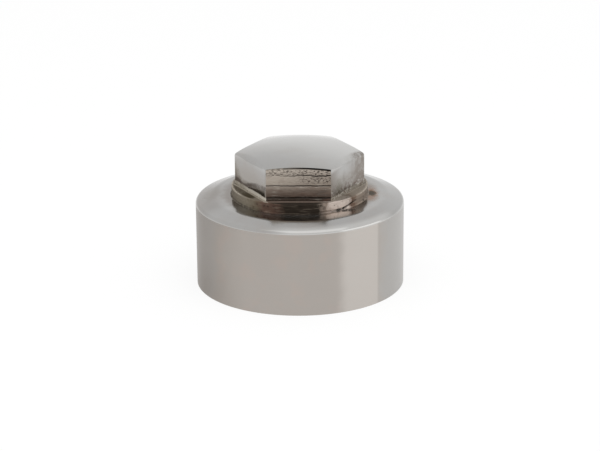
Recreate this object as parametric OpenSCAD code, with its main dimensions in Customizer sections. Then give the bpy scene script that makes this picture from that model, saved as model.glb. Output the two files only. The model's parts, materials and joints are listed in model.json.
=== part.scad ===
// Fork top nut: a round cap nut with a domed hexagon head and a threaded blind bore.
// The origin is the centre of the rim that it stands on, +Z runs up through the head,
// and one flat of the hexagon faces -Y. All sizes are in millimetres.

/* [Drum] */
// Diameter of the round drum
drum_d = 41.3; // [38:0.1:60]
// Height of the drum's top above the rim, where its shoulder begins
drum_h = 18.1; // [16:0.05:40]
// Rise of the drum's nearly flat top, from its shoulder to the foot of the collar
top_rise = 0.05; // [0.01:0.01:0.5]
// Width of the shoulder that slopes down round the top, measured in from the side
shoulder_w = 3.35; // [2:0.05:4]
// Slope of the shoulder, in degrees
shoulder_angle = 17.5; // [8:0.5:30]
// Radius that blends the top into the shoulder
shoulder_blend_r = 3; // [0.5:0.5:4]
// Radius that rounds the drum's upper edge, between the shoulder and the side
drum_edge_r = 0.8; // [0.3:0.1:1.2]
// Bevel on the outside of the rim
rim_bevel = 0.1; // [0.1:0.1:1]

/* [Collar] */
// Diameter of the round collar under the hexagon
collar_d = 27; // [26:0.1:34]
// Height of the collar above its foot
collar_h = 1.95; // [0.6:0.05:6]
// Radius of the fillet at the foot of the collar
collar_fillet_r = 0.25; // [0.05:0.05:0.4]

/* [Hexagon head] */
// Width of the hexagon across its flats
hex_af = 22.2; // [16:0.1:22.4]
// Height of a flat, up its middle
hex_flat_h = 6.8; // [3:0.1:14]
// Radius of the domed top
dome_r = 47.5; // [25:0.5:120]

/* [Threaded bore] */
// Bore diameter, at the crests of the internal thread
bore_d = 31.8; // [20:0.1:32.5]
// Depth of the bore, from the rim to its flat end
bore_depth = 12.5; // [8:0.1:14]
// Diameter of the relief groove past the last thread
relief_d = 33.7; // [32.8:0.1:35]
// Width of the relief groove
relief_w = 1.6; // [0.6:0.1:3]
// Bevel in the corner between the relief groove and the bore's end
relief_bevel = 0.4; // [0.1:0.1:0.5]
// Bevel that leads into the bore
mouth_bevel = 1; // [0.2:0.1:1.5]

/* [Hidden] */
$fn = 180;
// How far joined solids run into each other, and cuts run past a face
overlap = 0.5;

drum_r = drum_d / 2;
collar_r = collar_d / 2;
bore_r = bore_d / 2;
relief_r = relief_d / 2;

// Heights of the collar's foot and of the ledge that it leaves round the hexagon
collar_foot_z = drum_h + top_rise;
collar_top_z = collar_foot_z + collar_h;

// The drum's top falls a little from the collar's foot to the corner where the shoulder begins
corner = [drum_r - shoulder_w, drum_h];
top_slope = atan2(top_rise, corner.x - collar_r);
top_normal = [sin(top_slope), cos(top_slope)];
shoulder_normal = [sin(shoulder_angle), cos(shoulder_angle)];

// Circle in that corner, which touches the top at blend_start and the shoulder at blend_end
half_bend = (shoulder_angle - top_slope) / 2;
lean = (shoulder_angle + top_slope) / 2;
blend_centre = corner - shoulder_blend_r / cos(half_bend) * [sin(lean), cos(lean)];
blend_start = blend_centre + shoulder_blend_r * top_normal;
blend_end = blend_centre + shoulder_blend_r * shoulder_normal;

// Circle of the rounded upper edge, which touches the shoulder at edge_end
edge_centre_r = drum_r - drum_edge_r;
edge_centre = [edge_centre_r,
               drum_h - (drum_edge_r + (edge_centre_r - corner.x) * shoulder_normal.x)
                        / shoulder_normal.y];
edge_end = edge_centre + drum_edge_r * shoulder_normal;

// Circle of the fillet, which touches the collar and the drum's top
fillet_centre = [collar_r + collar_fillet_r,
                 collar_foot_z + collar_fillet_r * (1 - top_normal.x) / top_normal.y];
fillet_end = fillet_centre - collar_fillet_r * top_normal;

// A six-sided circle has its corners on X, so that two of its flats face -Y and +Y
hex_sides = 6;
hex_corner_r = hex_af / 2 / cos(180 / hex_sides);

// Centre of the dome's sphere, which passes through the middle of each flat's top edge
dome_centre_z = collar_top_z + hex_flat_h - sqrt(pow(dome_r, 2) - pow(hex_af / 2, 2));

// Half section of the turned body, before it is bored
module body_section() {
    polygon([[0, 0],
             [drum_r - rim_bevel, 0],
             [drum_r, rim_bevel],
             [drum_r, edge_centre.y],
             edge_centre,
             edge_end,
             blend_end,
             blend_centre,
             blend_start,
             [collar_r, collar_foot_z],
             [collar_r, collar_top_z],
             [0, collar_top_z]]);
    // Rounded upper edge of the drum
    translate(edge_centre)
        circle(r = drum_edge_r);
    // Blend between the drum's top and its shoulder
    translate(blend_centre)
        circle(r = shoulder_blend_r);
    // Fillet at the foot of the collar
    difference() {
        polygon([[collar_r - overlap, fillet_centre.y],
                 [collar_r - overlap, collar_foot_z - overlap],
                 [collar_r, collar_foot_z - overlap],
                 fillet_end,
                 fillet_centre]);
        translate(fillet_centre)
            circle(r = collar_fillet_r);
    }
}

// Blind bore with its lead-in and relief groove
module bore() {
    rotate_extrude()
        polygon([[0, -overlap],
                 [bore_r + mouth_bevel + overlap, -overlap],
                 [bore_r, mouth_bevel],
                 [bore_r, bore_depth - relief_w],
                 [relief_r, bore_depth - relief_w],
                 [relief_r, bore_depth - relief_bevel],
                 [relief_r - relief_bevel, bore_depth],
                 [0, bore_depth]]);
}

// Hexagon with its domed top, rooted a little way into the collar
module hexagon_head() {
    intersection() {
        translate([0, 0, collar_top_z - overlap])
            cylinder(r = hex_corner_r, h = overlap + hex_flat_h + dome_r, $fn = hex_sides);
        translate([0, 0, dome_centre_z])
            sphere(r = dome_r);
    }
}

module fork_top_nut() {
    color("silver")
        difference() {
            union() {
                rotate_extrude() body_section();
                hexagon_head();
            }
            bore();
        }
}

fork_top_nut();
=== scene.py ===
"""Fork top nut: the plated nut with its worn finish, and the stage it stands on."""

import json
import math
from collections import namedtuple
from functools import partialmethod

import bmesh
import bpy
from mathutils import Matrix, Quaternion, Vector, noise


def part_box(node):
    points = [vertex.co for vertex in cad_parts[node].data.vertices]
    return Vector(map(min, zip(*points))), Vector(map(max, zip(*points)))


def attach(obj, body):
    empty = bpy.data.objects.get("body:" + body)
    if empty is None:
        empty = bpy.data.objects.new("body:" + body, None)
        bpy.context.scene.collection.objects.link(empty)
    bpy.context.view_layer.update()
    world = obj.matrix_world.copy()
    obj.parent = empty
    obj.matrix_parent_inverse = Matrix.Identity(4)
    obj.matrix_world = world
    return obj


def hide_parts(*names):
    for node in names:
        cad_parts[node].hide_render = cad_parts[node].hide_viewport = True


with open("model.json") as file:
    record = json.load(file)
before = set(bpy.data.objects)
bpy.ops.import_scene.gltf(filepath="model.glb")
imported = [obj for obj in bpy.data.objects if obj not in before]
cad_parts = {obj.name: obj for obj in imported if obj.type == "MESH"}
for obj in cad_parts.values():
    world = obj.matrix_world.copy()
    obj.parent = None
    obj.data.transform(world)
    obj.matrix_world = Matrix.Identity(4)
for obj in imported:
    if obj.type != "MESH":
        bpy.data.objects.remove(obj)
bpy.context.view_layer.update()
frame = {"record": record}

bl_info = {
    "name": "Fork Top Nut",
    "version": (1, 0, 0),
    "blender": (4, 5, 0),
    "location": "View3D > Sidebar > Fork Nut",
    "description": "Builds a worn, plated fork top nut and its stage",
    "category": "Object",
}

# ------------ fixed facts

MM = 0.001
NODE = "fork_top_nut"
LOW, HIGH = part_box(NODE)
THREAD = next(m for m in frame["record"]["mounts"] if m["name"] == "tube_thread")
CREST_R = THREAD["dims"]["r_mm"] * MM

FULL_TURN = 2 * math.pi
HEX_SIDES = 6

# Steps of the meshes: round the axis, round a corner, and up each stretch of a section.
STEPS_PER_SIDE = 48
TURN_STEPS = HEX_SIDES * STEPS_PER_SIDE
CORNER_STEPS = 3
SIDE_ROWS = 8
EDGE_STEPS = 12
SHOULDER_ROWS = 12
BEND_STEPS = 6
TOP_ROWS = 20
FILLET_STEPS = 4
COLLAR_ROWS = 24
FLAT_ROWS = 80
RIM_RINGS = 12
DOME_RINGS = 24

# Points closer than the first distance are merged, and a point within the second one of
# a surface counts as on it.
SAME_PLACE = 1e-7
NEAR = 0.02 * MM

# Edges flatter than these angles are shaded smooth.
NUT_SMOOTH = math.radians(32)
THREAD_SMOOTH = math.radians(25)

# The thread: half the width of its crest, the lean of its flanks, how far it is sunk in
# the wall, and the steps of each turn.
CREST_HALF = 0.14 * MM
FLANK_LEAN = math.radians(30)
THREAD_BITE = 0.03 * MM
THREAD_STEPS = 120

# The buffed crown: the distances over which it comes up beside the front flat's edge and
# beside a corner, the share of its reach that it loses at a corner, and how far inside
# the flats' planes the rounded corners may lie.
FRONT_FADE = 1.6 * MM
CORNER_FADE = 6 * MM
CORNER_LOSS = 0.55
CORNER_DEPTH = 0.06 * MM

# The cutter's marks across the front flat, in millimetres: height above the ledge, half
# width, depth and sway; then their strength at the left and right ends, and whether the
# dirt in them is broken up.
Mark = namedtuple("Mark", "height half_width depth sway left right broken")
CUTTER_MARKS = (
    Mark(5.12, 0.17, 0.10, 0.09, 0.35, 1.0, broken=True),
    Mark(3.10, 0.14, 0.06, 0.03, 0.80, 1.0, broken=False),
    Mark(0.64, 0.24, 0.12, 0.03, 0.65, 0.85, broken=False),
)

# Rate, start and share of each wave that makes the marks sway.
SWAYS = ((1.1, 0.4, 1.0), (2.9, 1.7, 0.55), (7.3, 4.1, 0.3))

# The lip that the cutter left under the dome: its width and depth, in millimetres, and
# its strength at the left and right ends.
LIP_WIDTH, LIP_DEPTH, LIP_LEFT, LIP_RIGHT = 0.42, 0.20, 0.35, 1.0

# How far from its middle the front flat is milled, in millimetres, over how much of that
# the marks run out, and how much a face there points forward at least.
FLAT_END = 6.3
RUN_OUT = 0.5
FORWARD = 0.6

# The crack in the collar: it starts this high above the foot, in millimetres, and
# climbs this much between two turns, in degrees.
CRACK_FOOT, CRACK_RISE, CRACK_TURNS = 0.08, 0.85, (35, 57)

# Stains on the drum's top, as places of the plan in millimetres.
RUST_SPOT = (14.1, -0.5)
RUST_PIT = (14.2, -0.25)
SMEAR = (-17.2, 0.2)

# Tones of the front flat by share of its height, dark at its foot and pale at its top.
FRONT_TONES = (
    (0.0, (0.060, 0.044, 0.034)),
    (0.10, (0.085, 0.062, 0.048)),
    (0.20, (0.13, 0.094, 0.074)),
    (0.36, (0.19, 0.15, 0.122)),
    (0.55, (0.285, 0.24, 0.20)),
    (1.0, (0.40, 0.35, 0.305)),
)

# The stage, in metres, and the width of the camera's sensor, in millimetres.
FLOOR_R = 1.6
FLOOR_SIDES = 96
CLIP_START = 0.01
SENSOR_W = 36

# ------------ sizes and colours


def number(name, value, description, **limits):
    """A plain number property."""
    return bpy.props.FloatProperty(name=name, description=description, default=value, **limits)


def length(name, millimetres, description):
    """A length property, written in millimetres and kept in metres."""
    style = {"precision": 5, "subtype": "DISTANCE", "unit": "LENGTH"}
    return number(name, millimetres * MM, description, min=0, **style)


def angle(name, degrees, description):
    """An angle property, written in degrees and kept in radians."""
    return number(name, math.radians(degrees), description, subtype="ANGLE", unit="ROTATION")


def colour(name, red, green, blue, description):
    """A colour property, in linear values."""
    style = {"min": 0, "max": 1, "size": 3, "subtype": "COLOR"}
    tone = (red, green, blue)
    return bpy.props.FloatVectorProperty(
        name=name, description=description, default=tone, **style
    )


class ForkNutSizes(bpy.types.PropertyGroup):
    drum_d: length("Drum diameter", (HIGH.x - LOW.x) / MM, "Diameter of the round drum")
    total_h: length("Total height", (HIGH.z - LOW.z) / MM, "Height, rim to top of dome")
    drum_h: length("Drum height", 18.1, "Height of the drum's top, at its shoulder")
    shoulder_w: length("Shoulder width", 3.35, "Width of the sloping shoulder")
    shoulder_slope: angle("Shoulder slope", 17.5, "Slope of the shoulder")
    shoulder_blend_r: length("Shoulder blend", 3, "Radius between top and shoulder")
    drum_edge_r: length("Drum edge radius", 0.8, "Rounding of the drum's upper edge")
    rim_bevel: length("Rim bevel", 0.1, "Bevel on the outside of the rim")
    top_rise: length("Top rise", 0.05, "Rise of the drum's top, shoulder to collar")
    collar_d: length("Collar diameter", 27, "Diameter of the collar")
    collar_h: length("Collar height", 1.95, "Height of the collar above its foot")
    collar_fillet_r: length("Collar fillet", 0.25, "Fillet at the collar's foot")
    hex_af: length("Across flats", 22.2, "Width of the hexagon across its flats")
    hex_flat_h: length("Flat height", 6.8, "Height of a flat, up its middle")
    dome_r: length("Dome radius", 47.5, "Radius of the domed top")
    corner_break: length("Corner break", 0.12, "Rounding of the hexagon's corners")
    ledge_break: length("Ledge break", 0.12, "Rounding of the collar's upper edge")
    crown_buff: length("Crown buffing", 1.25, "How far polishing reaches from the crown's edge")
    bore_depth: length("Bore depth", 12.5, "Depth of the threaded bore")
    relief_d: length("Relief diameter", 33.7, "Diameter of the thread relief")
    relief_w: length("Relief width", 1.6, "Width of the thread relief")
    relief_bevel: length("Relief bevel", 0.4, "Bevel at the bore's end")
    mouth_bevel: length("Mouth bevel", 1, "Bevel that leads into the bore")
    thread_pitch: length("Thread pitch", 1.27, "Distance from one thread to the next")
    thread_h: length("Thread height", 0.72, "Height of the thread, root to crest")


class ForkNutFinish(bpy.types.PropertyGroup):
    plate: colour("Plate", 0.43, 0.425, 0.415, "Bright plate")
    # Painted highlight, laid on the dome's back and right and along the drum's shoulder.
    polish: colour("Polish", 0.62, 0.615, 0.60, "Plate where it is polished brightest")
    bloom: colour("Warm plate", 0.40, 0.365, 0.335, "Plate with a warm bloom")
    # Painted shade: a darker copy of the plate, laid on the flats.
    flat_shade: colour("Faded plate", 0.355, 0.335, 0.31, "Duller plate of the flats")
    # Also laid as painted shade on the drum's side and top, and as a painted reflection of the
    # collar.
    dull: colour("Dull plate", 0.22, 0.19, 0.165, "Dull, brownish plate")
    olive: colour("Olive tarnish", 0.16, 0.13, 0.09, "Olive part of the tarnish")
    moss: colour("Moss", 0.165, 0.158, 0.115, "Mottling low on the right flat")
    fleck: colour("Fleck", 0.62, 0.59, 0.54, "Light flecks at the right flat's foot")
    taupe: colour("Taupe band", 0.17, 0.145, 0.12, "Brown band low on the left flat")
    seam: colour("Seam", 0.085, 0.062, 0.048, "Dark seam in the brown band")
    # Painted reflection of the ledge along the flats' feet, with its duller parts.
    reflected_stripe: colour("Foot stripe", 0.56, 0.52, 0.45, "Stripe along the flats' feet")
    reflected_stripe_end: colour("Dull stripe", 0.27, 0.24, 0.19, "Duller parts of that stripe")
    # Painted sheen on the drum's top, in front of the collar's bare patch.
    scrape_and_sheen: colour("Scraped top", 0.80, 0.745, 0.70, "Scraped patch on the drum's top")
    scorch: colour("Rust halo", 0.26, 0.15, 0.09, "Brown halo of the rust spot")
    pit: colour("Rust pit", 0.04, 0.033, 0.018, "Dark middle of the rust spot")
    brushed: colour("Brushed plate", 0.475, 0.468, 0.455, "Turned side of the drum")
    # Painted reflection: laid on the front of the drum's side.
    warm: colour("Warm brushed plate", 0.455, 0.418, 0.385, "Its warm front")
    rosy: colour("Rosy patches", 0.50, 0.42, 0.375, "Reddish patches of the warm front")
    # Painted reflection: an upright band on the drum's side.
    strip: colour("Bright strip", 0.57, 0.535, 0.50, "Upright strip of brighter plate")
    cut_steel: colour("Cut steel", 0.56, 0.50, 0.43, "Palest parts of the front flat")
    streak: colour("Streaks", 0.50, 0.45, 0.39, "Pale streaks along the front flat")
    soot: colour("Soot", 0.07, 0.05, 0.04, "Sooty band low on the front flat")
    speckle: colour("Speckles", 0.045, 0.032, 0.026, "Dirt in the front flat's pits")
    # Laid also as painted shade in the groove under the front flat's lip.
    crevice: colour("Crevice", 0.010, 0.008, 0.006, "Dirt in marks, pits and corners")
    tarnish: colour("Tarnish", 0.024, 0.018, 0.013, "Darkest tarnish on the collar")
    rust: colour("Rust", 0.115, 0.066, 0.048, "Reddish part of the tarnish")
    dust: colour("Dust", 0.30, 0.25, 0.20, "Dusty streaks round the collar")
    bare: colour("Bare patch", 0.57, 0.49, 0.435, "Scraped patch on the collar")
    # Painted glints on the collar's bare patch.
    shine: colour("Bare specks", 0.90, 0.82, 0.77, "Brightest specks of the bare patch")
    ledge: colour("Ledge", 0.17, 0.148, 0.12, "Dull ledge beside the side flats")
    ledge_patch: colour("Ledge patch", 0.042, 0.032, 0.017, "Dark patch on the ledge")
    ledge_soot: colour("Ledge soot", 0.03, 0.023, 0.018, "Soot on the ledge in front")
    ledge_worn: colour("Worn soot", 0.17, 0.13, 0.105, "Paler middle of that soot")
    ledge_strip: colour("Ledge strip", 0.34, 0.305, 0.25, "Light strip by the flats")
    # Painted highlight along the ledge's outer edge.
    ledge_highlight: colour("Ledge rim", 0.50, 0.45, 0.38, "Worn edge of the ledge")
    thread_steel: colour("Thread steel", 0.24, 0.22, 0.195, "Oily steel of the bore")
    oil: colour("Oil", 0.10, 0.085, 0.07, "Dark oil in the bore")


class ForkNutStage(bpy.types.PropertyGroup):
    azimuth: angle("Camera azimuth", 1.2, "Turn of the camera from facing a flat")
    elevation: angle("Camera elevation", 19.18, "Camera's height above the horizon")
    roll: angle("Camera roll", -0.46, "Tilt of the camera about its own axis")
    distance: length("Camera distance", 454.3, "Distance to the aim point")
    aim_height: length("Aim height", 10.325, "Height that the camera looks at")
    lens: number(
        "Lens", 136.62, "Focal length, in millimetres, on a 36 mm wide sensor",
        subtype="DISTANCE_CAMERA",
    )
    frame_shift: number(
        "Frame shift", 0.0075, "Upward shift of the view, as a share of its width",
        subtype="FACTOR",
    )
    floor_white: number(
        "Floor white", 0.85, "Share of plain white in what shows of the floor",
        min=0, max=1, subtype="FACTOR",
    )
    room: number("Room level", 0.86, "Brightness of the room all round", min=0)
    overhead: number("Overhead level", 0.28, "Radiance of the softbox overhead", min=0)
    side: number("Side level", 0.5, "Radiance of the softbox at the right", min=0)
    fill: number("Fill level", 0.9, "Radiance of the light that shines on dull parts", min=0)


def sizes():
    """The sizes, which functions take as s."""
    return bpy.context.scene.fork_nut_sizes


def colours():
    """The colours of the finish, which functions take as f."""
    return bpy.context.scene.fork_nut_finish


def collar_foot_z(s):
    return s.drum_h + s.top_rise


def ledge_z(s):
    return collar_foot_z(s) + s.collar_h


def dome_centre_z(s):
    return s.total_h - s.dome_r


def dome_z(s, radius):
    """Height of the domed top at a distance from the axis."""
    return dome_centre_z(s) + math.sqrt(s.dome_r**2 - radius**2)


def corner_radius(s):
    """Distance from the axis to the hexagon's corners, which is also its side."""
    return s.hex_af / 2 / math.cos(math.pi / HEX_SIDES)


def compass(turn):
    """Direction of the plan at a turn from +X, in radians."""
    return Vector((math.cos(turn), math.sin(turn)))


FLAT_NORMALS = [compass(FULL_TURN * side / HEX_SIDES - math.pi / 2) for side in range(HEX_SIDES)]
FRONT, RIGHT, LEFT = FLAT_NORMALS[0], FLAT_NORMALS[1], FLAT_NORMALS[-1]


# ------------ modelling


def add_piece(name, add, **settings):
    """Adds a primitive with nothing else selected, and names it."""
    bpy.ops.object.select_all(action="DESELECT")
    add(**settings)
    piece = bpy.context.object
    piece.name = piece.data.name = name
    return piece


def pick(piece, *others):
    """Selects only these pieces, and makes the first one active."""
    bpy.ops.object.select_all(action="DESELECT")
    for item in (piece, *others):
        item.select_set(True)
    bpy.context.view_layer.objects.active = piece


def edit(piece):
    """Opens a piece in edit mode, with nothing else selected."""
    pick(piece)
    bpy.ops.object.mode_set(mode="EDIT")


def leave():
    bpy.ops.object.mode_set(mode="OBJECT")


def select(piece, kind, test):
    """Selects, in edit mode, the vertices, edges or faces that pass a test."""
    bpy.ops.mesh.select_mode(type=kind)
    bpy.ops.mesh.select_all(action="DESELECT")
    mesh = bmesh.from_edit_mesh(piece.data)
    parts = {"VERT": mesh.verts, "EDGE": mesh.edges, "FACE": mesh.faces}[kind]
    for part in parts:
        if test(part):
            part.select_set(True)
    mesh.select_flush_mode()
    bmesh.update_edit_mesh(piece.data)


def extrude_by(step):
    bpy.ops.mesh.extrude_region_move(TRANSFORM_OT_translate={"value": step})


def merge_doubles():
    bpy.ops.mesh.select_all(action="SELECT")
    bpy.ops.mesh.remove_doubles(threshold=SAME_PLACE)


def face_outwards():
    bpy.ops.mesh.select_all(action="SELECT")
    bpy.ops.mesh.normals_make_consistent(inside=False)


def shade_smooth(piece, limit):
    """Shades a piece smooth where its edges are flatter than a limit."""
    pick(piece)
    bpy.ops.object.shade_smooth_by_angle(angle=limit)


def draw_line(name, points):
    """A chain of edges through points of the XZ plane, extruded from one vertex."""
    line = add_piece(name, bpy.ops.mesh.primitive_plane_add, size=MM)
    edit(line)
    bpy.ops.mesh.select_mode(type="VERT")
    bpy.ops.mesh.merge(type="CENTER")
    corners = [Vector((across, 0, up)) for across, up in points]
    bpy.ops.transform.translate(value=corners[0])
    for start, end in zip(corners, corners[1:]):
        extrude_by(end - start)
    leave()
    return line


def turn_on_lathe(piece):
    """Spins a half section round the upright axis."""
    edit(piece)
    bpy.ops.mesh.select_all(action="SELECT")
    bpy.ops.mesh.spin(steps=TURN_STEPS, angle=FULL_TURN, center=(0, 0, 0), axis=(0, 0, 1))
    merge_doubles()
    leave()


def arc(centre, radius, start, end, steps):
    """Points of a circle in the XZ plane, from one angle to another, in radians."""
    turns = [start + (end - start) * i / steps for i in range(steps + 1)]
    return [tuple(Vector(centre) + radius * compass(turn)) for turn in turns]


def divided(start, end, steps):
    """Points from start to end, without the end itself."""
    return [
        tuple(a + (b - a) * i / steps for a, b in zip(start, end)) for i in range(steps)
    ]


def top_slope(s):
    """Slope of the drum's top, from the collar's foot out to the shoulder."""
    return math.atan2(s.top_rise, s.drum_d / 2 - s.shoulder_w - s.collar_d / 2)


def shoulder_corner(s):
    """Corner where the drum's top and its shoulder would meet without the blend."""
    return Vector((s.drum_d / 2 - s.shoulder_w, s.drum_h))


def edge_centre(s):
    """Centre of the circle that rounds the drum's upper edge."""
    corner, steep = shoulder_corner(s), s.shoulder_slope
    across = s.drum_d / 2 - s.drum_edge_r
    drop = (s.drum_edge_r + (across - corner.x) * math.sin(steep)) / math.cos(steep)
    return Vector((across, corner.y - drop))


def outside_outline(s):
    """Half section of the outside, from the rim to the collar's upper edge."""
    drum_r, collar_r = s.drum_d / 2, s.collar_d / 2
    slope, steep = top_slope(s), s.shoulder_slope
    quarter = math.pi / 2

    to_blend = s.shoulder_blend_r / math.cos((steep - slope) / 2)
    blend_centre = shoulder_corner(s) - to_blend * compass(quarter - (steep + slope) / 2)
    fillet_rise = s.collar_fillet_r * (1 - math.sin(slope)) / math.cos(slope)
    fillet_centre = (collar_r + s.collar_fillet_r, collar_foot_z(s) + fillet_rise)

    up, flat = quarter - steep, quarter - slope
    edge = arc(edge_centre(s), s.drum_edge_r, 0, up, EDGE_STEPS)
    bend = arc(blend_centre, s.shoulder_blend_r, up, flat, BEND_STEPS)
    foot = arc(fillet_centre, s.collar_fillet_r, flat - math.pi, -math.pi, FILLET_STEPS)
    wall_top = (collar_r, ledge_z(s) - s.ledge_break)
    return (
        [(drum_r - s.rim_bevel, 0)]
        + divided((drum_r, s.rim_bevel), edge[0], SIDE_ROWS)
        + edge[:-1]
        + divided(edge[-1], bend[0], SHOULDER_ROWS)
        + bend[:-1]
        + divided(bend[-1], foot[0], TOP_ROWS)
        + foot[:-1]
        + divided(foot[-1], wall_top, COLLAR_ROWS)
        + [wall_top, (collar_r - s.ledge_break, ledge_z(s))]
    )


def bore_outline(s):
    """Half section of the bore, from the middle of its end to its mouth."""
    root_r = CREST_R + s.thread_h
    relief_r = s.relief_d / 2
    relief_z = s.bore_depth - s.relief_w
    return [
        (0, s.bore_depth),
        (relief_r / 2, s.bore_depth),
        (relief_r - s.relief_bevel, s.bore_depth),
        (relief_r, s.bore_depth - s.relief_bevel),
        (relief_r, relief_z),
        (root_r, relief_z),
        (root_r, s.mouth_bevel - s.thread_h),
        (CREST_R + s.mouth_bevel, 0),
    ]


def turned_body(s):
    """Drum, collar and bore, turned in one piece and open where the hexagon goes."""
    body = draw_line("plated_nut", bore_outline(s) + outside_outline(s))
    turn_on_lathe(body)
    return body


def hexagon_head(s):
    """Flats and dome, grown from a rounded hexagon that lies on the ledge."""
    side = corner_radius(s)
    head = add_piece(
        "hexagon_head",
        bpy.ops.mesh.primitive_circle_add,
        vertices=HEX_SIDES,
        radius=side,
        fill_type="NOTHING",
        location=(0, 0, 0),
        rotation=(0, 0, math.pi / HEX_SIDES),
    )
    bpy.ops.object.transform_apply(location=False, rotation=True, scale=False)
    edit(head)
    bpy.ops.mesh.select_mode(type="VERT")
    bpy.ops.mesh.select_all(action="SELECT")
    bpy.ops.mesh.bevel(
        offset=s.corner_break, offset_type="OFFSET", segments=CORNER_STEPS, affect="VERTICES"
    )
    select(head, "EDGE", lambda e: e.calc_length() > side / 2)
    bpy.ops.mesh.subdivide(number_cuts=STEPS_PER_SIDE - CORNER_STEPS - 1)
    bpy.ops.mesh.select_all(action="SELECT")
    bpy.ops.transform.translate(value=(0, 0, ledge_z(s)))
    extrude_by((0, 0, s.hex_flat_h))
    grow_dome_rings(1 - s.crown_buff / (s.hex_af / 2))
    select(head, "EDGE", lambda e: abs(e.verts[0].co.z - e.verts[1].co.z) > MM)
    bpy.ops.mesh.subdivide(number_cuts=FLAT_ROWS - 1)
    leave()
    return head


def grow_dome_rings(crown_share):
    """Closes the top with rings, which lie closest together in the buffed crown."""
    steps = [(ring / RIM_RINGS) ** 1.5 for ring in range(RIM_RINGS + 1)]
    shares = [1 - (1 - crown_share) * step for step in steps]
    shares += [crown_share * (1 - ring / DOME_RINGS) for ring in range(1, DOME_RINGS)]
    for share, smaller in zip(shares, shares[1:]):
        bpy.ops.mesh.extrude_region_move()
        left = smaller / share
        bpy.ops.transform.resize(value=(left, left, 1), center_override=(0, 0, 0))
    bpy.ops.mesh.extrude_region_move()
    bpy.ops.mesh.merge(type="CENTER")


def raise_dome(head, s):
    """Lifts the head onto the dome: its top wholly, its flats in proportion."""
    foot = ledge_z(s)
    for v in head.data.vertices:
        share = (v.co.z - foot) / s.hex_flat_h
        v.co.z = foot + share * (dome_z(s, v.co.xy.length) - foot)


def smooth_step(low, high, value):
    """0 below low, 1 above high, and a smooth climb between."""
    share = min(max((value - low) / (high - low), 0), 1)
    return share * share * (3 - 2 * share)


def buff_crown(head, s):
    """Rounds the edge between dome and flats, as a polishing wheel does.

    Flats and dome bend onto one arc, which touches each of them at the reach of
    the wheel. The front flat was milled after polishing, so its own edge stays sharp.
    """
    half_af, corner_r = s.hex_af / 2, corner_radius(s)
    slope = math.asin(half_af / s.dome_r)
    half_arc = (math.pi / 2 - slope) / 2
    corners = [corner_r * compass(FULL_TURN * side / HEX_SIDES) for side in range(HEX_SIDES)]
    polished = [normal for normal in FLAT_NORMALS if normal is not FRONT]
    for v in head.data.vertices:
        across = v.co.xy
        below = dome_z(s, across.length) - v.co.z
        inside = min(half_af - normal.dot(across) for normal in polished)
        on_dome, on_flat = below <= NEAR, inside <= CORNER_DEPTH
        from_front = math.hypot(max(abs(v.co.x) - corner_r / 2, 0), v.co.y + half_af)
        from_corner = min((across - corner).length for corner in corners)
        kept = 1 - CORNER_LOSS * (1 - smooth_step(0, CORNER_FADE, from_corner))
        reach = s.crown_buff * kept * smooth_step(0, FRONT_FADE, from_front)
        away = below if on_flat else inside / math.cos(slope)
        if not (on_dome or on_flat) or away >= reach:
            continue
        arc_r = reach / math.tan(half_arc)
        bend = (1 - away / reach) * half_arc
        short = reach - away - arc_r * math.sin(bend)
        sunk = arc_r * (1 - math.cos(bend))
        inward, drop = sunk, short
        if on_dome and not on_flat:
            inward = short * math.cos(slope) + sunk * math.sin(slope)
            drop = sunk * math.cos(slope) - short * math.sin(slope)
        v.co.xy -= across.normalized() * inward
        v.co.z -= drop


# ------------ marks of use


def between(left, right, rightward):
    """Goes from the left value to the right one; numbers and sockets alike."""
    return left + (right - left) * rightward


def wander(x, sine):
    """Sway of a cutter's mark; numbers and sockets alike, each with its own sine."""
    return sum(sine(x * rate + start) * share for rate, start, share in SWAYS)


def mark_depth(s, x, z):
    """Depth of the cutter's marks at a point of the front flat, in millimetres."""
    ends = 1 - smooth_step(FLAT_END - RUN_OUT, FLAT_END, abs(x))
    rightward = smooth_step(-FLAT_END, FLAT_END, x)
    edge = dome_z(s, math.hypot(x * MM, s.hex_af / 2)) / MM
    down = (edge - z) / LIP_WIDTH
    lip = LIP_DEPTH * math.sin(math.pi * down) if 0 < down < 1 else 0
    depth = lip * between(LIP_LEFT, LIP_RIGHT, rightward)
    for mark in CUTTER_MARKS:
        middle = ledge_z(s) / MM + mark.height + mark.sway * wander(x, math.sin)
        share = max(0, 1 - abs(z - middle) / mark.half_width)
        depth += mark.depth * share * between(mark.left, mark.right, rightward)
    ripple = noise.noise(Vector((x * 0.5, z * 5, 3.1)))
    grain = noise.noise(Vector((x * 1.6, z * 7, 8.4)))
    return ends * (depth + 0.012 * ripple + 0.012 * grain)


def mill_front_flat(nut, s):
    """Presses the cutter's marks into the front flat."""
    front = -s.hex_af / 2
    for v in nut.data.vertices:
        if abs(v.co.y - front) < NEAR and v.co.z > ledge_z(s) + NEAR:
            v.co.y += mark_depth(s, v.co.x / MM, v.co.z / MM) * MM


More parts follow.
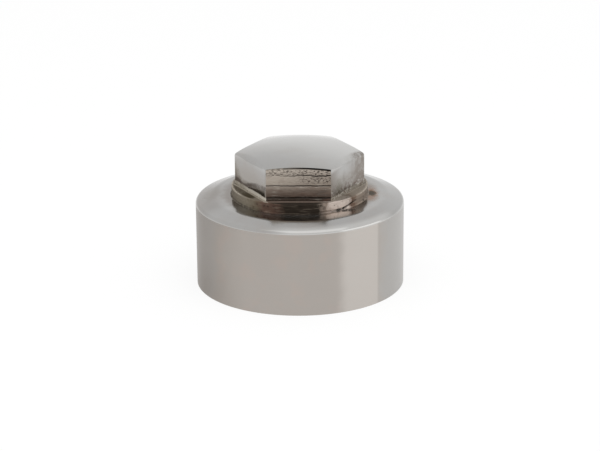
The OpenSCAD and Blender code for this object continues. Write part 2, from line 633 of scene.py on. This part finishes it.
def pit_collar(nut, s):
    """Eats pits and a ragged crack into the collar's wall."""
    collar_r, foot, ledge = s.collar_d / 2, collar_foot_z(s), ledge_z(s)
    for v in nut.data.vertices:
        around = v.co.xy
        on_wall = -NEAR < around.length - collar_r < s.collar_fillet_r - NEAR
        if not (on_wall and foot < v.co.z < ledge):
            continue
        place = v.co / MM
        turn = math.degrees(math.atan2(v.co.x, -v.co.y))
        scrape_and_sheen = smooth_step(12, 22, turn) * (1 - smooth_step(50, 60, turn))
        up = (v.co.z - foot) / MM
        line = CRACK_FOOT + CRACK_RISE * smooth_step(*CRACK_TURNS, turn)
        near = 1 - smooth_step(0.10, 0.34, abs(up - line))
        coarse = noise.noise(place * 1.3)
        fine = noise.noise(place * 4.1)
        eaten = 0.05 * max(0, coarse + 0.4) + 0.03 * fine * (1 - 0.6 * scrape_and_sheen)
        crack = scrape_and_sheen * near * max(0, 0.20 + 0.2 * fine) * smooth_step(0, 0.2, up)
        ends = smooth_step(0, 0.2 * MM, ledge - v.co.z)
        v.co.xy -= around.normalized() * (eaten + crack) * ends * MM


# ------------ material nodes


class Socket:
    """An output of a node; sums on it add Math nodes to the same material."""

    def __init__(self, tree, output):
        self.tree = tree
        self.output = output

    def math(self, operation, *others):
        inputs = dict(enumerate((self, *others)))
        return add_node(self.tree, "Math", {"operation": operation}, inputs)

    def __rsub__(self, other):
        return add_node(self.tree, "Math", {"operation": "SUBTRACT"}, {0: other, 1: self})

    sine = partialmethod(math, "SINE")
    capped = partialmethod(math, "MINIMUM")
    __abs__ = partialmethod(math, "ABSOLUTE")
    __add__ = __radd__ = partialmethod(math, "ADD")
    __sub__ = partialmethod(math, "SUBTRACT")
    __mul__ = __rmul__ = partialmethod(math, "MULTIPLY")
    __truediv__ = partialmethod(math, "DIVIDE")
    __pow__ = partialmethod(math, "POWER")


def empty_material(name):
    material = bpy.data.materials.new(name)
    material.use_nodes = True
    material.node_tree.nodes.clear()
    return material


def add_node(tree, kind, settings, inputs, output=0):
    """A shader node. Its settings are made first, then its sockets linked or given values."""
    node = tree.nodes.new("ShaderNode" + kind)
    for name, value in settings.items():
        if name == "stops":
            stops = node.color_ramp.elements
            while len(stops) < len(value):
                stops.new(0.5)
            for stop, (place, tone) in zip(stops, value):
                stop.position = place
                stop.color = (*tone, 1)
        else:
            setattr(node, name, value)
    for name, value in inputs.items():
        if isinstance(value, Socket):
            tree.links.new(value.output, node.inputs[name])
        else:
            node.inputs[name].default_value = value
    return Socket(tree, node.outputs[output] if node.outputs else None)


class Surface:
    """A material on a Principled shader, and the patterns that its finish is made of.

    Places are in millimetres; turns round the axis are in degrees, from the front
    towards the right. Its tone is built up in layers, which lay() adds.
    """

    def __init__(self, name):
        self.material = empty_material(name)
        self.tree = self.material.node_tree
        coords = self.node("TexCoord", {}, {}, "Object")
        to_mm = {0: coords, "Scale": 1 / MM}
        self.place = self.node("VectorMath", {"operation": "SCALE"}, to_mm)
        self.x, self.y, self.z = (
            self.node("SeparateXYZ", {}, {0: self.place}, axis)
            for axis in range(3)
        )
        self.r = (self.x * self.x + self.y * self.y) ** 0.5
        self.turn = self.x.math("ARCTAN2", 0 - self.y) * math.degrees(1)
        self.tone = None

    def node(self, kind, settings, inputs, output=0):
        return add_node(self.tree, kind, settings, inputs, output)

    def combine(self, x, y, z):
        return self.node("CombineXYZ", {}, {0: x, 1: y, 2: z})

    def noise(self, size, place=None, detail=2.0, roughness=0.5):
        """Cloudy values from 0 to 1, with clouds of a size in millimetres."""
        inputs = {
            "Vector": place or self.place,
            "Scale": 1 / size,
            "Detail": detail,
            "Roughness": roughness,
        }
        return self.node("TexNoise", {}, inputs)

    def climb(self, value, low, high):
        """0 below low, 1 above high, and a smooth climb between."""
        limits = {"Value": value, "From Min": low, "From Max": high}
        return self.node("MapRange", {"interpolation_type": "SMOOTHSTEP"}, limits)

    def fade(self, value, low, high):
        """1 below low, 0 above high, and a smooth fall between."""
        return 1 - self.climb(value, low, high)

    def band(self, value, low, high, soft):
        """1 between low and high, fading to 0 outside over a soft border."""
        return self.climb(value, low - soft, low) * self.fade(value, high, high + soft)

    def oval(self, place, squeeze, inner, outer, ragged):
        """1 near a point of the plan, fading to 0; a squeeze under 1 makes it deep."""
        across, deep = self.x - place[0], (self.y - place[1]) * squeeze
        away = (across * across + deep * deep) ** 0.5
        return self.fade(away + (self.noise(0.8) - 0.5) * ragged, inner, outer)

    def outward(self, normal):
        """Distance from the axis in a direction of the plan."""
        return self.x * normal.x + self.y * normal.y

    def sideways(self, normal):
        """Distance along a flat, from its middle to the left of its normal."""
        return self.y * normal.x - self.x * normal.y

    def below_dome(self, s):
        """Depth under the domed top."""
        height = dome_centre_z(s) / MM + ((s.dome_r / MM) ** 2 - self.r * self.r) ** 0.5
        return height - self.z

    def mix(self, first, second, factor):
        """Goes from the first colour to the second as factor goes from 0 to 1."""
        first, second = (
            tone if isinstance(tone, Socket) else (*tone, 1) for tone in (first, second)
        )
        tones = {0: factor, 6: first, 7: second}
        return self.node("Mix", {"data_type": "RGBA"}, tones, 2)

    def ramp(self, factor, stops):
        return self.node("ValToRGB", {"stops": stops}, {0: factor})

    def lay(self, tone, share):
        """Covers a share of what was laid before with another tone."""
        self.tone = self.mix(self.tone, tone, share)

    def finish(self, height, **inputs):
        """Wires the tone and the other patterns to the shader; height is in millimetres."""
        relief = {"Strength": 1.0, "Distance": MM, "Height": height}
        names = {name.replace("_", " "): value for name, value in inputs.items()}
        names["Normal"] = self.node("Bump", {}, relief)
        names["Base Color"] = self.tone
        shader = self.node("BsdfPrincipled", {}, names)
        self.node("OutputMaterial", {}, {"Surface": shader})
        return self.material


# ------------ finishes


class BrightPlate(Surface):
    """Polished plate of the dome, the flats and the drum's top, with its stains and painted
    light.

    Each stain and each patch of painted light and shade lays its tone; some add to worn, the
    roughness, and to dulled, the share of its metallic shine that the plate has lost.
    """

    def __init__(self, s, f):
        super().__init__("bright_plate")
        self.s, self.f = s, f
        self.up = self.z - ledge_z(s) / MM
        self.below = self.below_dome(s)
        self.head = self.climb(self.up, 0, 0.05)
        self.top = 1 - self.head
        self.cloud = self.noise(6.0, detail=3.0)
        self.blotch = self.noise(2.4, detail=3.0)
        self.smudge = self.noise(1.1, detail=4.0, roughness=0.6)
        self.drift, self.fray = self.blotch - 0.5, self.smudge - 0.5
        self.worn, self.dulled = 0.13 + 0.05 * self.cloud, 0
        self.tone = self.mix(f.plate, f.bloom, 0.4 * self.climb(self.cloud, 0.4, 0.7))

    def on_flat(self, normal):
        """1 on one flat, fading to 0 over the dome beside it."""
        inside = self.s.hex_af / 2 / MM - self.outward(normal)
        return self.head * self.fade(inside, 0.5, 1.5)

    def paint_head_light(self):
        """Painted highlight on the dome, brightest at the back and the right; painted shade
        darkens the flats.
        """
        away = self.y + self.x * 0.6 + self.drift * 3.0
        dome = self.fade(self.below, 0.5, 1.0) * self.head
        self.lay(self.f.polish, 0.9 * dome * self.climb(away, -13.0, 5.0))
        self.lay(self.f.flat_shade, 0.85 * self.head * self.climb(self.below, 1.2, 4.2))

    def stain_right_flat(self):
        """Dull by the front corner, mottled below, and dusky towards the outer corner."""
        f, along, right = self.f, self.sideways(RIGHT), self.on_flat(RIGHT)
        near = right * self.climb(self.below, 0.3, 1.3) * self.fade(along, -6.2, -2.5)
        self.lay(f.dull, 0.7 * near)
        low = right * self.fade(self.up + self.drift * 4.0, 1.5, 4.9)
        inner = low * self.fade(along + self.drift * 4.0, -3.4, -0.4)
        mossy = self.climb(self.blotch + self.fray * 0.5, 0.36, 0.60)
        self.lay(f.moss, 0.85 * inner * mossy)
        self.lay(f.dull, (0.25 + 0.6 * self.climb(self.smudge, 0.40, 0.66)) * low)
        dusk = right * self.climb(along + self.drift * 4.0, -0.5, 4.5)
        self.lay(f.dull, dusk * (0.35 + 0.55 * self.climb(self.smudge, 0.34, 0.6)))
        self.worn += 0.15 * low

    def stain_left_flat(self):
        """Olive at its outer lower corner, with a brown band and seam over its foot."""
        f, along, left = self.f, self.sideways(LEFT), self.on_flat(LEFT)
        corner = self.fade(along + self.up * 0.75 - self.fray * 2.4, -4.4, -1.6)
        self.lay(f.olive, 0.85 * left * corner)
        self.lay(f.dull, 0.3 * left * self.climb(self.below, 0.2, 1.6))

        band_top = 2.25 + self.drift * 0.8
        taupe = self.fade(self.up, band_top - 0.7, band_top + 0.1)
        self.lay(f.taupe, 0.8 * left * taupe * self.climb(self.smudge, 0.15, 0.45))

        inward = self.climb(along, -5.5, 5.5)
        sag = 2 * inward - 1
        middle = 1.55 + 0.65 * sag * sag + 0.15 * inward + self.drift * 0.8
        middle = middle - 1.1 * self.fade(inward, 0.1, 0.6)
        seam = left * self.fade(abs(self.up - middle), 0.15, 0.70)
        broken = self.climb(self.smudge + (1 - inward) * 0.25, 0.36, 0.56)
        self.lay(f.seam, (0.85 - 0.3 * self.climb(inward, 0.5, 0.8)) * seam * broken)
        self.worn += 0.3 * left * corner + 0.35 * seam
        self.dulled += 0.5 * seam

    def paint_foot_reflection(self):
        """Painted reflection of the ledge: a light band along the foot of both flats; flecks on
        the right one.
        """
        f, left, right = self.f, self.on_flat(LEFT), self.on_flat(RIGHT)
        inward = self.climb(self.sideways(LEFT), -5.5, 5.5)
        light = self.climb(left * inward + self.smudge, 0.4, 1.1)
        reflected_stripe = (left + right * 0.7) * self.fade(self.up + self.drift * 0.5, 0.55, 0.85)
        self.lay(self.mix(f.reflected_stripe_end, f.reflected_stripe, light), 0.95 * reflected_stripe)
        self.worn += 0.5 * reflected_stripe
        self.dulled += 0.85 * reflected_stripe

        fleck = self.noise(0.5, detail=3.0, roughness=0.6)
        crusted = right * self.fade(self.up + self.drift * 2.0, 1.3, 2.1)
        self.lay(f.rust, 0.8 * crusted * self.fade(fleck, 0.38, 0.46))
        self.lay(f.fleck, 0.8 * crusted * self.climb(fleck, 0.56, 0.64))

    def stain_drum_top(self):
        """A painted reflection of the collar beside it, a painted sheen, a rust spot, a smear,
        and painted shade at the left.
        """
        f, top, turn = self.f, self.top, self.turn
        out = self.r - self.s.collar_d / 2 / MM
        # Painted reflection: the dark collar mirrored in the top beside it, at the sides and
        # back.
        collar_reflection = self.climb(abs(turn), 44, 62) * self.fade(out + self.drift * 1.6, 0.8, 2.9)
        self.lay(f.dull, 0.85 * collar_reflection * top)
        # Painted sheen: a lighter patch of the top in front of the collar's bare patch.
        scrape_and_sheen = self.band(turn + self.drift * 12, 22, 42, 9) * self.fade(out, 1.0, 3.8)
        self.lay(f.scrape_and_sheen, 0.8 * scrape_and_sheen * top)
        film = top * self.fade(out, 0.9, 2.9)

        rust = self.oval(RUST_SPOT, 0.30, 0.5, 1.9, ragged=1.3) * top
        self.lay(f.scorch, 0.85 * rust)
        self.worn += 0.25 * rust
        self.dulled += 0.6 * rust + 0.04 * film
        smear = self.oval(SMEAR, 0.5, 0.5, 3.0, ragged=2.4)
        self.lay(f.olive, 0.42 * smear * top)
        # Painted shade on the left of the top.
        shade = self.band(turn + (self.cloud - 0.5) * 20, -105, -72, 18)
        self.lay(f.dull, 0.4 * shade * self.climb(out, 1.0, 3.5) * top)

    def paint_shoulder_highlight(self):
        """Painted highlight: the shoulder brightens towards its edge, most of all at the front
        and right.
        """
        inside = self.s.drum_d / 2 / MM - self.r
        lit = self.band(self.turn + (self.cloud - 0.5) * 10, -4, 52, 14) * 0.66 + 0.06
        self.lay(self.f.polish, lit * self.fade(inside, 0.35, 1.95) * self.top)


def bright_plate(s, f):
    """The plate with its stains and painted light, and a dark pit in the middle of the rust."""
    m = BrightPlate(s, f)
    m.paint_head_light()
    m.stain_right_flat()
    m.stain_left_flat()
    m.paint_foot_reflection()
    m.stain_drum_top()
    m.paint_shoulder_highlight()
    pit = m.oval(RUST_PIT, 0.45, 0.35, 1.0, ragged=0.8) * m.top
    m.lay(f.pit, 0.95 * pit)
    return m.finish(
        0.0015 * m.blotch + 0.0006 * m.noise(0.35) - 0.35 * pit,
        Metallic=1 - m.dulled - 0.33 * pit,
        Roughness=m.worn.capped(0.7) + 0.25 * pit,
    )


def turned_plate(s, f):
    """The drum's side, brushed round; painted reflection makes its front warmer and darker."""
    m = Surface("turned_plate")
    cloud = m.noise(7.0, detail=3.0)
    patch = m.noise(3.2)
    # Painted reflection: the front, facing the floor before it, is warmer and darker.
    front = m.band(m.turn + (cloud - 0.5) * 30, -48, 44, 14)
    m.tone = m.mix(f.brushed, f.warm, 0.25 + 0.7 * front)
    m.lay(f.rosy, 0.35 * front * m.climb(patch, 0.5, 0.72))
    # Painted reflection: an upright band of brighter plate.
    strip = m.climb(m.turn + (patch - 0.5) * 5, 20, 28) * m.fade(m.turn, 47, 49)
    m.lay(f.strip, 0.8 * strip)

    # Painted shade: darker towards the left, most of all low down; plain again at the back.
    left = m.fade(m.turn + (cloud - 0.5) * 14, -80, -25)
    low = m.fade(m.z + (patch - 0.5) * 3, 1.0, 10.0)
    m.lay(f.dull, left * (0.85 + 0.15 * low) * m.fade(abs(m.turn), 105, 135))

    lines = m.noise(1.0, m.combine(m.turn * 0.02, m.z * 9.0, 0.0))
    return m.finish(
        0.0008 * lines,
        Metallic=1.0,
        Roughness=0.40 + 0.05 * (lines - 0.5) + 0.05 * (cloud - 0.5),
        Anisotropic=0.9,
        Anisotropic_Rotation=0.25,
    )


def milled_flat(s, f):
    """The front flat, left rough by the cutter, with grime in its marks and painted shade under
    its lip.
    """
    m = Surface("milled_flat")
    up = m.z - ledge_z(s) / MM
    rightward = m.climb(m.x, -FLAT_END, FLAT_END)
    streak = m.noise(1.0, m.combine(m.x * 0.35, 0.0, m.z * 2.6), detail=4.0, roughness=0.6)
    grain = m.noise(1.0, m.combine(m.x * 1.7, 2.0, m.z * 5.5), detail=3.0, roughness=0.6)
    blotch = m.noise(1.0, m.combine(m.x * 0.5, 5.0, m.z * 1.1), detail=3.0)

    height = up / (s.hex_flat_h / MM)
    m.tone = m.ramp(height + (blotch - 0.5) * 0.2, FRONT_TONES)
    pale = (1 - rightward) * m.climb(height, 0.2, 0.6) * 0.4 + m.climb(height, 0.8, 0.95) * 0.3
    m.lay(f.cut_steel, pale)
    m.lay(f.streak, 0.6 * m.climb(streak, 0.52, 0.72))
    m.lay(f.rust, 0.6 * m.climb(blotch, 0.52, 0.72) * (1 - height))
    sooty = m.band(up + (grain - 0.5) * 1.2, 1.2, 2.2, 0.4) * m.climb(streak, 0.42, 0.62)
    m.lay(f.soot, 0.75 * sooty * (0.35 + 0.65 * rightward))

    # Speckled pits between the upper marks, and on the right below them.
    upper = m.band(up, 5.3, 6.2, 0.2)
    lower = m.band(up, 3.7, 4.7, 0.25) * m.climb(m.x, -1.5, 2.5)
    pits = (upper + lower) * m.climb(grain, 0.515, 0.575)
    m.lay(f.speckle, 0.8 * pits)

    # Grime in the marks; grime and painted shade under the lip.
    broken = m.climb(grain + rightward * 0.25, 0.42, 0.56)
    lip = m.band(m.below_dome(s), 0.06, 0.34, 0.10) * between(LIP_LEFT, LIP_RIGHT, rightward)
    dark = lip * m.climb(grain + rightward * 0.6, 0.42, 0.6) * 1.3
    for mark in CUTTER_MARKS:
        middle = mark.height + mark.sway * wander(m.x, Socket.sine)
        share = m.fade(abs(up - middle), mark.half_width * 0.35, mark.half_width * 1.1)
        strength = between(mark.left, mark.right, rightward)
        dark = dark + share * strength * (broken if mark.broken else 1)
    m.lay(f.crevice, dark.capped(0.97))
    relief = 0.012 * streak + 0.016 * grain - 0.03 * pits
    return m.finish(relief, Metallic=0.85, Roughness=0.42 + 0.1 * streak)


def collar_tones(f):
    """Tones round the collar, by their turn in degrees."""
    return (
        (-150, f.dull),
        (-75, (0.190, 0.165, 0.130)),
        (-50, (0.215, 0.188, 0.145)),
        (-39, (0.145, 0.117, 0.082)),
        (-31, (0.115, 0.070, 0.053)),
        (-17, (0.07, 0.043, 0.032)),
        (-11, f.tarnish),
        (17, f.tarnish),
        (23, (0.30, 0.24, 0.20)),
        (28, f.bare),
        (46, f.bare),
        (51, (0.13, 0.075, 0.050)),
        (57, (0.255, 0.205, 0.165)),
        (92, f.dull),
    )


def tarnished_collar(s, f):
    """The collar's wall, foot and ledge: tarnish that changes round it, pits and grime, painted
    glints and a painted highlight on the ledge's edge.
    """
    m = Surface("tarnished_collar")
    up = m.z - ledge_z(s) / MM
    smudge = m.noise(1.0, detail=4.0, roughness=0.6)
    fine = m.noise(0.3, detail=3.0, roughness=0.6)
    streak = m.noise(1.0, m.combine(m.turn * 0.09, 1.0, m.z * 3.2), detail=4.0)
    turn = m.turn + (smudge - 0.5) * 16

    stops = [(at / 360 + 0.5, tone) for at, tone in collar_tones(f)]
    m.tone = m.ramp(turn / 360 + 0.5, stops)
    m.lay(f.dust, 0.25 * m.climb(streak, 0.5, 0.72))
    m.lay(f.crevice, 0.6 * m.climb(smudge, 0.56, 0.7))
    scrape_and_sheen = m.band(turn, 24, 49, 6)
    speck = m.noise(0.6)
    # Painted glints on the bare patch, then dark pits in it.
    m.lay(f.shine, 0.6 * scrape_and_sheen * m.climb(speck, 0.64, 0.74))
    m.lay(f.crevice, 0.6 * scrape_and_sheen * m.fade(speck, 0.28, 0.36))

    # The ledge: dark before the front flat, olive at the left with a darker patch.
    flat = m.climb(up, -0.06, -0.01)
    m.lay(f.ledge, 0.6 * flat * m.climb(abs(turn), 26, 40))
    patch = m.band(turn, -84, -46, 5) * m.fade(m.r + (smudge - 0.5) * 0.6, 13.1, 13.35)
    m.lay(f.ledge_patch, 0.95 * flat * patch)
    worn = m.band(m.outward(FRONT), 11.0, 11.8, 0.4)
    sooty = m.mix(f.ledge_soot, f.ledge_worn, worn)
    m.lay(sooty, 0.9 * flat * m.band(turn, -24, 16, 7))

    # A light strip beside the two side flats, and a painted highlight along the ledge's edge.
    beside = abs(m.x) * RIGHT.x + m.y * RIGHT.y - s.hex_af / 2 / MM
    strip = flat * m.climb(beside, -0.05, 0.0) * m.fade(beside, 0.35, 0.65)
    m.lay(f.ledge_strip, 0.8 * strip * (1 - 0.5 * m.climb(m.x, -1, 1)))
    rim = m.climb(m.r, 13.05, 13.3) * flat + m.band(up, -0.2, -0.05, 0.08)
    m.lay(f.ledge_highlight, 0.55 * rim * m.climb(abs(turn), 52, 66) * m.climb(fine, 0.35, 0.6))

    # A ragged black crack along the foot, strongest under the bare patch.
    rise = CRACK_RISE * m.climb(m.turn, *CRACK_TURNS)
    line = CRACK_FOOT + rise + (smudge - 0.5) * (0.3 + 0.6 * scrape_and_sheen)
    crack = m.fade(abs(m.z - collar_foot_z(s) / MM - line), 0.10, 0.24)
    aged = m.band(m.turn, -95, -35, 8) * 0.4 + m.band(m.turn, 30, 50, 6) * 0.7
    m.lay(f.crevice, (0.15 + aged) * (0.65 + 0.6 * m.climb(smudge, 0.4, 0.6)) * crack)
    return m.finish(
        0.03 * smudge + 0.02 * fine * (1 - 0.7 * scrape_and_sheen) + 0.01 * streak,
        Metallic=0.12 + 0.45 * scrape_and_sheen * (1 - crack),
        Roughness=0.62 - 0.2 * scrape_and_sheen,
        Specular_IOR_Level=0.06,
    )


def bore_steel(s, f):
    """Oily, unplated steel of the bore, the thread and the rim's inside."""
    m = Surface("bore_steel")
    cloud = m.noise(3.0, detail=4.0, roughness=0.6)
    rings = m.noise(1.0, m.combine(m.r * 6.0, m.turn * 0.01, m.z * 6.0))
    m.tone = m.mix(f.thread_steel, f.oil, m.climb(cloud, 0.45, 0.7))
    m.lay(f.rust, 0.35 * m.climb(cloud, 0.66, 0.8))
    return m.finish(0.003 * rings, Metallic=0.9, Roughness=0.32 + 0.2 * cloud)


def cover(nut, finishes):
    """Gives the nut its materials and returns their slot numbers."""
    slots = {}
    for material in finishes:
        nut.data.materials.append(material)
        slots[material.name] = len(nut.data.materials) - 1
    return slots


def paint(nut, s, slots):
    """Chooses each face's finish by its place."""
    foot, ledge, side_top = collar_foot_z(s), ledge_z(s), edge_centre(s).y
    bore_r, side_r = s.relief_d / 2 + NEAR, s.drum_d / 2 - s.rim_bevel
    collar_r, front = s.collar_d / 2 + s.collar_fillet_r, -s.hex_af / 2
    for face in nut.data.polygons:
        x, y, z = face.center
        r = face.center.xy.length
        facing_front = face.normal.y < -FORWARD and y < front + LIP_DEPTH * 2 * MM
        if r < bore_r and NEAR < z < s.bore_depth + NEAR:
            name = "bore_steel"
        elif r > side_r and NEAR < z < side_top:
            name = "turned_plate"
        elif z > ledge + NEAR and facing_front and abs(x) < FLAT_END * MM:
            name = "milled_flat"
        elif foot < z <= ledge + NEAR and r < collar_r:
            name = "tarnished_collar"
        else:
            name = "bright_plate"
        face.material_index = slots[name]


# ------------ operators


def shaped_nut(s):
    """The drum and the head as one closed shell, with its marks of use."""
    head = hexagon_head(s)
    raise_dome(head, s)
    buff_crown(head, s)
    nut = turned_body(s)
    pick(nut, head)
    bpy.ops.object.join()
    edit(nut)
    on_ledge = ledge_z(s) - NEAR
    select(nut, "EDGE", lambda e: e.is_boundary and e.verts[0].co.z > on_ledge)
    bpy.ops.mesh.bridge_edge_loops()
    merge_doubles()
    face_outwards()
    leave()
    mill_front_flat(nut, s)
    pit_collar(nut, s)
    return nut


class FORKNUT_OT_nut(bpy.types.Operator):
    """Turn the drum, grow the hexagon, join and mark them, and plate the piece"""

    bl_idname = "fork_nut.nut"
    bl_label = "Plated nut"

    def execute(self, context):
        s, f = sizes(), colours()
        nut = shaped_nut(s)
        makers = (bright_plate, turned_plate, milled_flat, tarnished_collar, bore_steel)
        paint(nut, s, cover(nut, [make(s, f) for make in makers]))
        shade_smooth(nut, NUT_SMOOTH)
        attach(nut, "root")
        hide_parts(NODE)
        return {"FINISHED"}


def thread_section(s):
    """Section of the thread's lowest turn: its foot in the wall, its crest inwards."""
    foot_r = CREST_R + s.thread_h + THREAD_BITE
    foot_half = CREST_HALF + s.thread_h * math.tan(FLANK_LEAN)
    middle = s.mouth_bevel - s.thread_h + foot_half
    return [
        (foot_r, middle - foot_half),
        (CREST_R, middle - CREST_HALF),
        (CREST_R, middle + CREST_HALF),
        (foot_r, middle + foot_half),
    ]


class FORKNUT_OT_thread(bpy.types.Operator):
    """Wind the fine thread into the bore"""

    bl_idname = "fork_nut.thread"
    bl_label = "Thread"

    def execute(self, context):
        s = sizes()
        section = thread_section(s)
        thread = draw_line("internal_thread", section)
        edit(thread)
        bpy.ops.mesh.select_all(action="SELECT")
        bpy.ops.mesh.edge_face_add()
        bpy.ops.mesh.delete(type="ONLY_FACE")
        leave()
        turns = (s.bore_depth - s.relief_w - section[-1][1]) / s.thread_pitch
        screw = thread.modifiers.new("thread", "SCREW")
        screw.angle = turns * FULL_TURN
        screw.screw_offset = turns * s.thread_pitch
        screw.steps = screw.render_steps = round(turns * THREAD_STEPS)
        screw.use_smooth_shade = False
        pick(thread)
        bpy.ops.object.modifier_apply(modifier=screw.name)
        edit(thread)
        merge_doubles()
        bpy.ops.mesh.select_mode(type="EDGE")
        bpy.ops.mesh.select_all(action="DESELECT")
        bpy.ops.mesh.select_non_manifold()
        bpy.ops.mesh.fill_holes(sides=0)
        face_outwards()
        leave()
        thread.data.materials.append(bpy.data.materials["bore_steel"])
        shade_smooth(thread, THREAD_SMOOTH)
        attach(thread, "root")
        return {"FINISHED"}


def add_object(name, data):
    item = bpy.data.objects.new(name, data)
    bpy.context.collection.objects.link(item)
    return item


def add_softbox(name, radiance, size, place, target):
    """A soft lamp of a given radiance and size, in metres, that faces a target."""
    lamp = bpy.data.lights.new(name, "AREA")
    lamp.shape = "RECTANGLE"
    lamp.size, lamp.size_y = size
    lamp.energy = radiance * math.pi * size[0] * size[1]
    box = add_object(name, lamp)
    box.location = place
    box.rotation_euler = (target - Vector(place)).to_track_quat("-Z", "Y").to_euler()
    return box


def around(azimuth, elevation, distance):
    """A point seen from the origin, with azimuths from the front to the right."""
    turn, climb = math.radians(azimuth), math.radians(elevation)
    flat = math.cos(climb) * distance
    return Vector((math.sin(turn) * flat, -math.cos(turn) * flat, math.sin(climb) * distance))


def floor_finish(white):
    """A white floor that keeps the nut's soft shadow and can't be seen from below."""
    material = empty_material("pale_floor")
    tree = material.node_tree
    camera, glossy, transmitted = (
        add_node(tree, "LightPath", {}, {}, name)
        for name in ("Is Camera Ray", "Is Glossy Ray", "Is Transmission Ray")
    )
    below = add_node(tree, "NewGeometry", {}, {}, "Backfacing")
    plain = add_node(tree, "BsdfDiffuse", {}, {"Color": (0.9, 0.9, 0.9, 1)})
    glow = add_node(tree, "Emission", {}, {"Strength": 1.0})
    clear = add_node(tree, "BsdfTransparent", {}, {})
    seen = (camera + glossy + transmitted) * white
    top = add_node(tree, "MixShader", {}, {0: seen, 1: plain, 2: glow})
    both = add_node(tree, "MixShader", {}, {0: below, 1: top, 2: clear})
    add_node(tree, "OutputMaterial", {}, {"Surface": both})
    return material


class FORKNUT_OT_stage(bpy.types.Operator):
    """Set up the pale floor, the soft light and the camera"""

    bl_idname = "fork_nut.stage"
    bl_label = "Stage"

    def execute(self, context):
        scene, stage = context.scene, context.scene.fork_nut_stage
        floor = add_piece(
            "floor", bpy.ops.mesh.primitive_circle_add,
            vertices=FLOOR_SIDES, radius=FLOOR_R, fill_type="NGON",
        )
        floor.data.materials.append(floor_finish(stage.floor_white))
        self.light(scene, stage)
        self.look(scene, stage)
        scene.view_settings.view_transform = "Standard"
        return {"FINISHED"}

    def light(self, scene, stage):
        """A pale room with softboxes overhead and at the right, and a fill light."""
        world = scene.world = bpy.data.worlds.new("soft_room")
        world.use_nodes = True
        background = world.node_tree.nodes["Background"]
        background.inputs["Color"].default_value = (stage.room, stage.room, stage.room, 1)
        aim = Vector((0, 0, stage.aim_height))
        add_softbox("overhead_softbox", stage.overhead, (0.6, 0.7), (0.08, -0.2, 0.55), aim)
        add_softbox("side_softbox", stage.side, (0.85, 0.45), around(72, 11, 0.9), aim)
        fill = add_softbox("fill_light", stage.fill, (0.9, 0.7), (0, -0.3, 0.6), aim)
        fill.visible_glossy = False

    def look(self, scene, stage):
        """A camera that looks at the nut from its angle, with its roll and shift."""
        camera = bpy.data.cameras.new("camera")
        camera.lens, camera.sensor_width = stage.lens, SENSOR_W
        camera.shift_y = stage.frame_shift
        camera.clip_start = CLIP_START
        eye = scene.camera = add_object("camera", camera)
        azimuth, elevation = math.degrees(stage.azimuth), math.degrees(stage.elevation)
        away = around(azimuth, elevation, stage.distance)
        eye.location = Vector((0, 0, stage.aim_height)) + away
        eye.rotation_mode = "QUATERNION"
        level = (-away).to_track_quat("-Z", "Y")
        eye.rotation_quaternion = level @ Quaternion((0, 0, 1), stage.roll)


class FORKNUT_PT_panel(bpy.types.Panel):
    """Sizes, finishes and steps of the fork top nut"""

    bl_idname = "FORKNUT_PT_panel"
    bl_label = "Fork Top Nut"
    bl_space_type = "VIEW_3D"
    bl_region_type = "UI"
    bl_category = "Fork Nut"

    def draw(self, context):
        scene = context.scene
        for step in STEPS:
            self.layout.operator(step.bl_idname)
        for group in (scene.fork_nut_sizes, scene.fork_nut_finish, scene.fork_nut_stage):
            box = self.layout.box()
            for name in group.__annotations__:
                box.prop(group, name)


STEPS = (FORKNUT_OT_stage, FORKNUT_OT_nut, FORKNUT_OT_thread)
CLASSES = (ForkNutSizes, ForkNutFinish, ForkNutStage, *STEPS, FORKNUT_PT_panel)


def register():
    for item in CLASSES:
        bpy.utils.register_class(item)
    scene = bpy.types.Scene
    scene.fork_nut_sizes = bpy.props.PointerProperty(type=ForkNutSizes)
    scene.fork_nut_finish = bpy.props.PointerProperty(type=ForkNutFinish)
    scene.fork_nut_stage = bpy.props.PointerProperty(type=ForkNutStage)


def unregister():
    for name in ("fork_nut_sizes", "fork_nut_finish", "fork_nut_stage"):
        delattr(bpy.types.Scene, name)
    for item in reversed(CLASSES):
        bpy.utils.unregister_class(item)


def main():
    register()
    bpy.ops.fork_nut.stage()
    bpy.ops.fork_nut.nut()
    bpy.ops.fork_nut.thread()


if __name__ == "__main__":
    main()
